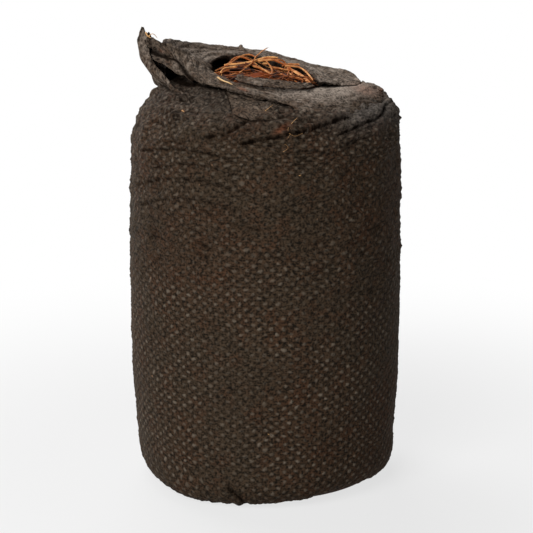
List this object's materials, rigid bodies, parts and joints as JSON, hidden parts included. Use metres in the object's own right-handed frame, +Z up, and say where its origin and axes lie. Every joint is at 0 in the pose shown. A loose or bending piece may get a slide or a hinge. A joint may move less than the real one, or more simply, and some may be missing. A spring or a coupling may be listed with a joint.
{
  "type": "coir plug",
  "caption": "Swollen coir plug for rooting a seedling: a pressed coir core in a dark fleece sleeve, folded open on top.",
  "frame": {"origin": "middle of the flat base that the plug stands on", "axes": "+Z up along the plug's axis, -Y towards the front, +X to the right with the standing corner of cloth at the left"},
  "size_m": [0.0522, 0.0522, 0.0883],
  "materials": {
    "coir_pith": "matte",
    "fleece_wall": "matte",
    "fleece_fold": "matte",
    "husk": "satin",
    "coir_fibre": "satin",
    "straw": "satin"
  },
  "bodies": {
    "root": {"coir_core": "coir_pith", "fleece_sleeve": "fleece_wall", "lap_strip": "fleece_wall", "front_cuff": "fleece_fold", "back_cuff": "fleece_fold", "corner_ear": "fleece_fold", "ear_tongue": "fleece_fold", "front_lip": "fleece_fold", "front_tuck": "fleece_fold", "corner_fold": "fleece_fold", "husk_chip": "husk", "fibre_long_pale": "coir_fibre", "fibre_back_stick": "coir_fibre", "fibre_left_arch": "coir_fibre", "fibre_left_low": "coir_fibre", "fibre_mid_cross": "coir_fibre", "fibre_mid_kink": "coir_fibre", "fibre_right_over": "coir_fibre", "fibre_right_top": "coir_fibre", "fibre_right_bow": "coir_fibre", "fibre_right_bundle": "coir_fibre", "fibre_right_low": "coir_fibre", "fibre_front_curl": "coir_fibre", "fibre_front_left": "coir_fibre", "fibre_in_ear": "coir_fibre", "straw_on_rim": "straw"}
  },
  "joints": []
}
